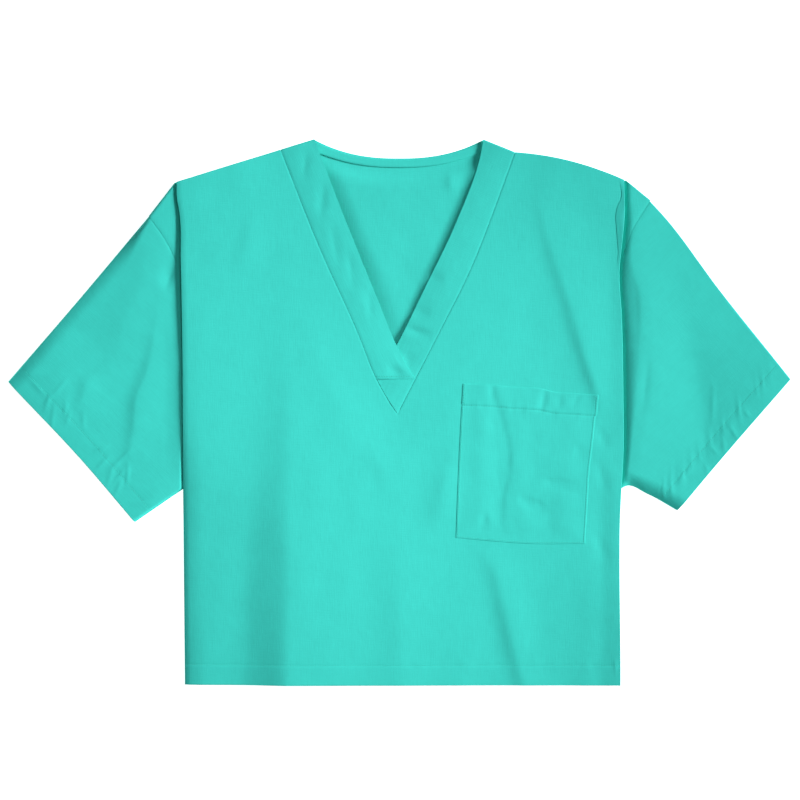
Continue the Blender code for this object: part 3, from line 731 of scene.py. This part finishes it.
def armhole_allowance(side):
    """A strip under the armhole's seam near the shoulder, where the two pieces stand apart."""
    share = np.linspace(ALLOWANCE_FROM, 0.996, 60)
    places = np.stack([armhole_point(side, share, shift)
                       for shift in np.linspace(-0.9, 0.9, 5)], 1)
    from_top = norm(places[:, 2] - np.array(side.armhole.end), axis=1)[:, None]
    out, up = places[..., 0], places[..., 1]
    height = low_height(side, out, up, risen(from_top, side.rim_slopes[0]), ON_BACK)
    return mirrored(np.dstack([places, height - SEAM_DIP - SHELL]), side)


# --- the neck bands ---
BAND_EDGE_COLUMNS = (0, NEAR, 0.5, 1.1, 2, 3.5)
BAND_STEPS = 18


def band_height(side, places, columns, across):
    """Height of the band's middle; across is the distance from its seam and free edge."""
    up = places[..., 1]
    seam, edge = along_table(side.v_height, up), along_table(side.band_height, up)
    folds = RIGHT_BAND_FOLDS if side.sign < 0 else LEFT_BAND_FOLDS
    x = side.sign * places[..., 0]
    height = mix(seam, edge, columns) + lift(folds, x, up)
    height += 0.4 * np.sin(pi * columns) + 0.12 * unevenness(x, up, 30, 9)
    height -= SEAM_DIP * hump(across[0], SEAM_WIDTH)
    top = mix(side.v_seam.end[1], side.band_edge.end[1], columns)
    return mix(BAND_ON_BACK, height, round_over((top - up) / SHOULDER_ROLL))


def neck_band(side, other=None):
    """Rows of a band from its lower end to the shoulder; other is the side it runs on to."""
    if other is None:
        first, past_end, end_rows = BAND_END_SHARE, 0.007, (0, 0.0004, 0.0015, 0.004)
    else:
        first, past_end, end_rows = V_SHARE, 0.004, ()
    shares = np.hstack([first + np.array(end_rows), SHARES[SHARES > first + past_end]])
    up = inner_up(side, shares)
    start = points_of(side.v_seam.out_at(up) - SEAM_SHIFT, up)
    lowest = inner_up(side, first)
    climb = (up - lowest) / (side.v_seam.end[1] - lowest)
    edge_up = mix(side.band_edge.start[1], side.band_edge.end[1], climb)
    edge = points_of(side.band_edge.out_at(edge_up), edge_up)
    if other is not None:
        start = np.vstack([[CENTRE * side.sign, V_POINT_UP + 2 * GAP], start])
        edge = np.vstack([edge[0], edge])
    width = norm(edge - start, axis=1)
    columns = np.array([spaced(w, SEAM_COLUMNS[:-1], BAND_EDGE_COLUMNS, BAND_STEPS)
                        for w in width])
    places = mix(start[:, None], edge[:, None], columns[..., None])
    if other is not None:
        ups = mix(V_POINT_UP, BAND_END_UP, columns[0])
        places[0] = points_of(2 * SEAM_SHIFT - other.v_seam.out_at(ups), ups)
        places[0, 0] = start[0]
    across = (columns * width[:, None], (1 - columns) * width[:, None])
    points = np.dstack([places, band_height(side, places, columns, across)])
    if other is None:
        points[..., 2] -= 0.3 * hump(places[..., 1] - BAND_END_UP, STITCH_WIDTH)
    else:
        points = np.vstack([points[:1], mix(points[:1], points[1:2], 0.05), points[1:]])
    return mirrored(points, side)


# --- the back, its neck band and the pocket ---
def patch(bottom, top, left, right, rows, columns):
    """Places between four edges that meet at their corners."""
    across, climb = columns[None, :, None], rows[:, None, None]
    sides = mix(left[:, None], right[:, None], across)
    corners = mix(mix(bottom[0], bottom[-1], across), mix(top[0], top[-1], across), climb)
    return sides + mix(bottom, top, climb) - corners


def back_edge(side):
    """The back's outer edge, from the hem to the shoulder."""
    hem_ups, shares = lower_rows()[::2], SHARES[::2]
    past_seam = armhole_point(side, shares, -GAP / 2)
    past_seam[:, 0] += (TUCK - GAP) * smooth(np.minimum(shares, 1 - shares) / 0.06)
    return np.vstack([points_of(side.fold.out_at(hem_ups), hem_ups), past_seam])


def half_back(side):
    """Half the back, from its middle line out, rows from the hem to the neck."""
    columns = np.linspace(0, 1, 90)
    outer = back_edge(side)
    rows = run_along(back_edge(RIGHT))
    rows /= rows[-1]
    middle = points_of(side.sign * CENTRE, mix(HEM_UP, BACK_SEAM_UP + TUCK, rows))
    hem = points_of(mix(middle[0, 0], outer[0, 0], columns), HEM_UP)
    end_out, rise, power = BACK_SEAM
    neck_outs = np.linspace(0, 110.5, 24)
    neck = points_of(neck_outs, BACK_SEAM_UP + rise * (neck_outs / end_out) ** power + TUCK)
    neck[0, 0] = middle[0, 0]
    shoulder_outs = np.linspace(side.v_seam.end[0], side.fold.end[0], 24)
    shoulder = points_of(shoulder_outs, shoulder_up(side, shoulder_outs))
    start = side.fold.end[0] - CLOTH / 2 - LIP
    level = np.array([[mix(start, side.armhole.end[0], KNEE), side.fold.end[1]]])
    top_line = np.vstack([neck, shoulder, level, outer[-1:]])
    run = run_along(top_line)
    top = read_along(top_line, run / run[-1], columns)
    places = patch(hem, top, middle, outer, rows, columns)
    out, up = places[..., 0], places[..., 1]
    x = side.sign * out
    inside = smooth((side.v_seam.out_at(up) - 10 - out) / 20) * smooth((up - 60) / 30)
    lifted = lift(BACK_FOLDS, x, up) + 0.2 * (1 + unevenness(x, up, 50, 13))
    from_band = x + RIGHT.band_edge.out_at(up)
    lifted += along_table(BACK_LIFT, up) * risen(np.maximum(0, from_band + 3), 24)
    from_other = LEFT.band_edge.out_at(up) - x
    rise_here = along_table(BACK_RISE, up)
    lifted += rise_here * np.clip(1 - from_other / (RISE_SPREAD * rise_here), 0, 1) ** 2
    below_seam = BACK_SEAM_UP + rise * np.abs(out / end_out) ** power - up
    lifted = lifted * inside * smooth((below_seam - 3) / 20)
    return mirrored(np.dstack([places, ON_FLOOR + np.maximum(0, lifted)]), side)


BACK_BAND_WIDTH = 11.5


def back_band():
    """The narrow band along the back's neckline."""
    share = np.linspace(-1, 1, 97)
    across = spaced(12, (0, 0.6, 1.4, 2.6), (0, 0.6, 1.4), 5)
    seam = back_curve(BACK_SEAM_UP, BACK_SEAM, share)
    edge = back_curve(BACK_NECK_UP, BACK_EDGE, share)
    places = mix(seam[None], edge[None], across[:, None, None])
    distance = across * BACK_BAND_WIDTH
    height = 1.5 - 0.6 * across - 0.5 * hump(distance, 1)
    height -= 0.6 * hump(BACK_BAND_WIDTH - distance, 1.5)
    ends = smooth((1 - np.abs(share)) / 0.1)
    return np.dstack([places, ON_FLOOR + height[:, None] * ends])


def back_curve(middle_up, curve, share):
    end_out, rise, power = curve
    return points_of(end_out * share, middle_up + rise * np.abs(share) ** power)


POCKET_WIDTH = 165
POCKET_HEIGHT = 190
POCKET_EDGE_COLUMNS = (0, 0.5, 1.2, 1.8, 2.6, 4, 6)
POCKET_TOP_ROWS = (0, 0.5, 1.2, 2.5, 5, 9, 13, 17, 21, 23.6, 24.8, 25.6, 26.5, 27.4, 28.2, 30)


def pocket():
    """The patch pocket, made from the front's own heights moved up."""
    rows = spaced(POCKET_HEIGHT, POCKET_EDGE_COLUMNS, POCKET_TOP_ROWS, 54)
    columns = spaced(POCKET_WIDTH, POCKET_EDGE_COLUMNS, POCKET_EDGE_COLUMNS, 56)
    places = patch(POCKET_BOTTOM.at(columns), POCKET_TOP.at(columns),
                   POCKET_LEFT.at(rows), POCKET_RIGHT.at(rows), rows, columns)
    from_left, from_foot = np.meshgrid(columns * POCKET_WIDTH, rows * POCKET_HEIGHT)
    from_right, from_top = POCKET_WIDTH - from_left, POCKET_HEIGHT - from_foot
    in_hem = smooth((POCKET_HEM + 1.2 - from_top) / 2)
    places[..., 0] += 1.6 * in_hem * columns[None] ** 8
    out, up = places[..., 0], places[..., 1]
    height = front_height(LEFT, out, up) + POCKET_LIFT
    sewn = np.minimum(np.minimum(from_left, from_right), from_foot)
    slack = smooth((sewn - 2) / 30)
    puff = (0.7 * slack + lift(POCKET_FOLDS, out, up) * smooth(sewn / 6)
            + 0.12 * unevenness(out, up, 30, 17) * slack)
    height += np.maximum(puff, 0)
    height += HEM_RISE * in_hem - 0.4 * hump(from_top - POCKET_HEM, 1.1)
    height += 0.4 * (puckers(from_left, 31) * hump(from_top - POCKET_HEM, 6)) * slack
    height -= 0.3 * (1 - round_over(from_top / 2))
    return np.dstack([places, height])


# --- making the pieces ---
POPLIN = "turquoise_poplin"
THREADS = "turquoise_thread"
PALE = "pale_floor"


def grid_faces(points, first):
    """The four-sided faces of a grid of points, without those that lack a corner."""
    def corners(grid):
        return np.stack([grid[:-1, :-1], grid[:-1, 1:], grid[1:, 1:], grid[1:, :-1]], -1)

    number = first + np.arange(points[..., 0].size).reshape(points.shape[:2])
    return corners(number)[corners(~np.isnan(points[..., 0])).all(-1)]


def adjust(thing, **settings):
    for name, value in settings.items():
        setattr(thing, name, value)


def add_object(name, data):
    made = bpy.data.objects.new(name, data)
    bpy.context.scene.collection.objects.link(made)
    return made


def new_mesh(name, material, points, faces):
    mesh = bpy.data.meshes.new(name)
    mesh.from_pydata(points.tolist(), [], faces)
    mesh.materials.append(bpy.data.materials[material])
    return mesh


def cloth_piece(name, grids, thickness, degrees=0):
    """One piece of cloth from grids that meet edge to edge, its threads turned by an angle."""
    points = np.vstack([grid.reshape(-1, 3) for grid in grids]) / METRE
    starts = np.cumsum([0] + [grid[..., 0].size for grid in grids[:-1]])
    faces = np.vstack([grid_faces(grid, start) for grid, start in zip(grids, starts)])
    mesh = new_mesh(name, POPLIN, np.nan_to_num(points), faces.tolist())
    layer = mesh.uv_layers.new(name="weave")
    cos, sin = np.cos(radians(degrees)), np.sin(radians(degrees))
    x, y = points[faces.ravel(), :2].T
    layer.data.foreach_set("uv", points_of(x * cos + y * sin, y * cos - x * sin).ravel())

    bm = bmesh.new()
    bm.from_mesh(mesh)
    loose = [vert for vert in bm.verts if not vert.link_faces]
    bmesh.ops.delete(bm, geom=loose, context='VERTS')
    bmesh.ops.remove_doubles(bm, verts=bm.verts, dist=2e-6)
    bmesh.ops.dissolve_degenerate(bm, dist=1e-6, edges=bm.edges)
    bmesh.ops.recalc_face_normals(bm, faces=bm.faces)
    bm.to_mesh(mesh)
    bm.free()
    mesh.shade_smooth()
    obj = add_object(name, mesh)
    adjust(obj.modifiers.new("cloth", 'SOLIDIFY'), thickness=thickness / METRE, offset=0.0,
           use_even_offset=True, use_quality_normals=True)
    return obj


def stitches(name, lines, thickness):
    """Short raised stitches along lines of points on a cloth, joined into one piece."""
    round_it = np.linspace(0, 2 * pi, 6)[:-1]
    shares = np.array((0.0, 0.15, 0.85, 1.0))
    heights = thickness / 2 + THREAD * np.array((-0.9, 0.5, 0.5, -0.9))
    rings = []
    for line in lines:
        run = run_along(line)
        first = np.arange(max(1, int(run[-1] / PITCH))) * PITCH
        middle = read_along(line, run, first[:, None] + STITCH * shares)
        middle[..., 2] += heights
        ahead = middle[:, -1] - middle[:, 0]
        ahead[:, 2] = 0.0
        ahead /= norm(ahead, axis=1)[:, None]
        beside = points_of(-ahead[:, 1], ahead[:, 0], 0)
        ring = (beside[:, None, None] * np.cos(round_it)[:, None]
                + points_of(0, 0, np.sin(round_it)))
        rings.append(middle[:, :, None] + THREAD * ring)
    rings = np.vstack(rings) / METRE
    number = np.arange(rings[..., 0].size).reshape(rings.shape[:3])
    turned = np.roll(number, -1, axis=2)
    walls = np.stack([number[:, :-1], turned[:, :-1], turned[:, 1:], number[:, 1:]], -1)
    faces = walls.reshape(-1, 4).tolist() + number[:, 0, ::-1].tolist() + number[:, -1].tolist()
    mesh = new_mesh(name, THREADS, rings.reshape(-1, 3), faces)
    mesh.shade_smooth()
    return add_object(name, mesh)


def bartack(grid, column, rows):
    """A stack of close short stitches across a column of a grid."""
    return [grid[row, column] + np.array(((-TACK / 2, 0, 0), (TACK / 2, 0, 0))) for row in rows]


def main():
    floor_and_light()
    poplin_material()
    thread_material()

    halves = [half_front(RIGHT), half_front(LEFT)]
    front = cloth_piece("front_cloth", halves, SHELL)
    row = HEM_ROWS.index(HEM)
    last = len(SEAM_COLUMNS) + FRONT_STEPS + len(STRIP_SHARES) + 7
    hem_line = np.vstack([halves[0][row, last::-1], halves[1][row, 1:last]])
    front_thread = stitches("front_hem_stitches", [hem_line], SHELL)
    back = cloth_piece("back_cloth", [half_back(RIGHT), half_back(LEFT)], SHELL)

    sleeves, sleeve_parts = [], []
    for side, label, turn in ((RIGHT, "right", 47), (LEFT, "left", -47)):
        ring, upper = sleeve(side)
        sleeves.append(cloth_piece(f"sleeve_{label}_cloth", [ring], SHELL, turn))
        line = upper[-1 - CUFF_ROWS.index(HEM), 5:-5]
        sleeve_parts.append([stitches(f"cuff_{label}_stitches", [line], SHELL),
                             cloth_piece(f"armhole_{label}_allowance",
                                         [armhole_allowance(side)], SHELL / 4, turn)])

    grid = neck_band(RIGHT)
    band_right = cloth_piece("band_right_cloth", [grid], BAND_SHELL, 24)
    end_line = mix(grid[3], grid[4], 0.4)[3:-3]
    band_thread = stitches("band_end_stitches", [end_line], BAND_SHELL)
    band_left = cloth_piece("band_left_cloth", [neck_band(LEFT, RIGHT)], BAND_SHELL, -24)
    band_back = cloth_piece("band_back_cloth", [back_band()], SHELL)

    grid = pocket()
    patch_pocket = cloth_piece("pocket_cloth", [grid], POCKET_SHELL)
    edge = POCKET_EDGE_COLUMNS.index(POCKET_STITCH)
    lines = [grid[-1 - POCKET_TOP_ROWS.index(POCKET_HEM), 4:-4], grid[edge:-1, edge][::-1],
             grid[edge, edge:-edge], grid[edge:-1, -1 - edge]]
    lines += bartack(grid, edge + 2, range(-11, -6)) + bartack(grid, -3 - edge, range(-7, -3))
    pocket_thread = stitches("pocket_stitches", lines, POCKET_SHELL)

    # piece, its sewing, node, the cut's width, length and area in metres, and what it rests on
    table = (
        (front, [front_thread], "front_panel", (0.660, 0.690), 0.350, "back_panel"),
        (back, [], "back_panel", (0.630, 0.690), 0.355, "floor"),
        (sleeves[0], sleeve_parts[0], "sleeve_right", (0.520, 0.240), 0.105, "floor"),
        (sleeves[1], sleeve_parts[1], "sleeve_left", (0.520, 0.240), 0.106, "floor"),
        (band_right, [band_thread], "neck_band_right", (0.050, 0.350), 0.0140, "neck_band_left"),
        (band_left, [], "neck_band_left", (0.050, 0.390), 0.0147, "back_panel"),
        (band_back, [], "back_neck_band", (0.225, 0.020), 0.0027, "floor"),
        (patch_pocket, [pocket_thread], "chest_pocket", (0.172, 0.196), 0.0320, "front_panel"),
    )
    for piece, sewing, node, flat, area, rests_on in table:
        for part in (piece, *sewing):
            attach(part, "root")
        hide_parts(node)


# --- materials, floor, light and camera ---
class Wire:
    """A value in a material; sums and products of wires make Math nodes."""

    def __init__(self, tree, socket):
        self.tree, self.socket = tree, socket

    def math(self, operation, first, second):
        return node(self.tree, "ShaderNodeMath", {0: first, 1: second}, operation=operation)

    def __add__(self, other):
        return self.math('ADD', self, other)

    def __radd__(self, other):
        return self.math('ADD', other, self)

    def __mul__(self, other):
        return self.math('MULTIPLY', self, other)

    def __rmul__(self, other):
        return self.math('MULTIPLY', other, self)


def node(tree, kind, inputs=(), output=0, **settings):
    """A new node, its settings set first, its sockets fed by wires or plain values."""
    made = tree.nodes.new(kind)
    adjust(made, **settings)
    plug_in(tree, made, dict(inputs))
    return Wire(tree, made.outputs[output])


def plug_in(tree, made, inputs):
    for place, value in inputs.items():
        if isinstance(value, Wire):
            tree.links.new(value.socket, made.inputs[place])
        else:
            made.inputs[place].default_value = value


def vector(tree, operation, first, second, place=1):
    return node(tree, "ShaderNodeVectorMath", {0: first, place: second}, operation=operation)


def new_material(name):
    material = bpy.data.materials.new(name)
    material.use_nodes = True
    return material.node_tree


def dress(tree, looks):
    """Feed the surface's looks with wires or plain values."""
    plug_in(tree, tree.nodes["Principled BSDF"], looks)


TURQUOISE = (0.051, 0.603, 0.530)
THREAD_COLOUR = (0.046, 0.560, 0.480)


def poplin_material():
    tree = new_material(POPLIN)
    place = node(tree, "ShaderNodeUVMap", uv_map="weave")

    def threads(across, along, detail=2.0):
        stretched = vector(tree, 'MULTIPLY', place, (across, along, 1.0))
        return node(tree, "ShaderNodeTexNoise", {"Vector": stretched, "Scale": 1.0,
                                                 "Detail": detail}, noise_dimensions='2D')

    warp = threads(900.0, 60.0)
    weft = threads(75.0, 1000.0)
    slub = threads(420.0, 22.0)
    cloud = threads(90.0, 90.0, 4.0)
    tone = 0.90 + 0.07 * warp + 0.05 * weft + 0.05 * slub + 0.05 * cloud
    height = 0.5 * warp + 0.5 * weft + 0.8 * cloud
    bump = node(tree, "ShaderNodeBump", {"Strength": 0.30, "Distance": 0.0005, "Height": height})
    dress(tree, {"Base Color": vector(tree, 'SCALE', TURQUOISE, tone, "Scale"),
                 "Roughness": 0.78 + 0.10 * warp, "Specular IOR Level": 0.12, "Normal": bump})


def thread_material():
    tree = new_material(THREADS)
    place = node(tree, "ShaderNodeTexCoord", output="Object")
    ply = node(tree, "ShaderNodeTexNoise", {"Vector": place, "Scale": 2200.0, "Detail": 2.0})
    dress(tree, {"Base Color": vector(tree, 'SCALE', THREAD_COLOUR, 0.85 + 0.3 * ply, "Scale"),
                 "Roughness": 0.55 + 0.2 * ply})


KEY_FROM = (0.87, 0.22, 0.41)
SPOT_UP = 1.3


def add_light(name, kind, back, location=(0, 0, 0), **looks):
    """A lamp that shines away from the direction back."""
    lamp = add_object(name, bpy.data.lights.new(name, kind))
    adjust(lamp.data, **looks)
    lamp.location = location
    lamp.rotation_euler = Vector(back).to_track_quat('Z', 'Y').to_euler()


def floor_and_light():
    scene = bpy.context.scene
    mesh = bpy.data.meshes.new("floor")
    bm = bmesh.new()
    bmesh.ops.create_grid(bm, x_segments=8, y_segments=8, size=16.0)
    bm.to_mesh(mesh)
    bm.free()
    floor = add_object("floor", mesh)
    floor.location.z = -0.0002
    dress(new_material(PALE), {
        "Base Color": (0.93, 0.93, 0.93, 1.0), "Roughness": 0.9, "Specular IOR Level": 0.1,
        "Emission Color": (1.0, 1.0, 1.0, 1.0), "Emission Strength": 0.90})
    mesh.materials.append(bpy.data.materials[PALE])

    add_light("key", 'SUN', KEY_FROM, energy=5.9, color=(0.93, 1.0, 1.0), angle=radians(22))
    add_light("overhead", 'SPOT', (0.12, 0, SPOT_UP), (0.10, -0.02, SPOT_UP), energy=21.5,
              color=(1.0, 0.93, 0.92), spot_size=radians(50), spot_blend=1.0,
              shadow_soft_size=0.25)
    world = bpy.data.worlds.new("studio")
    world.use_nodes = True
    tree = world.node_tree
    plug_in(tree, tree.nodes["Background"], {"Color": (0.20, 0.97, 0.90, 1.0), "Strength": 0.105})
    scene.world = world
    scene.view_settings.view_transform = 'Standard'

    scene.camera = add_object("camera", bpy.data.cameras.new("camera"))
    adjust(scene.camera.data, lens=85.0, sensor_width=36.0)
    scene.camera.location = (0.00125, 0.015, 2.3645)


main()
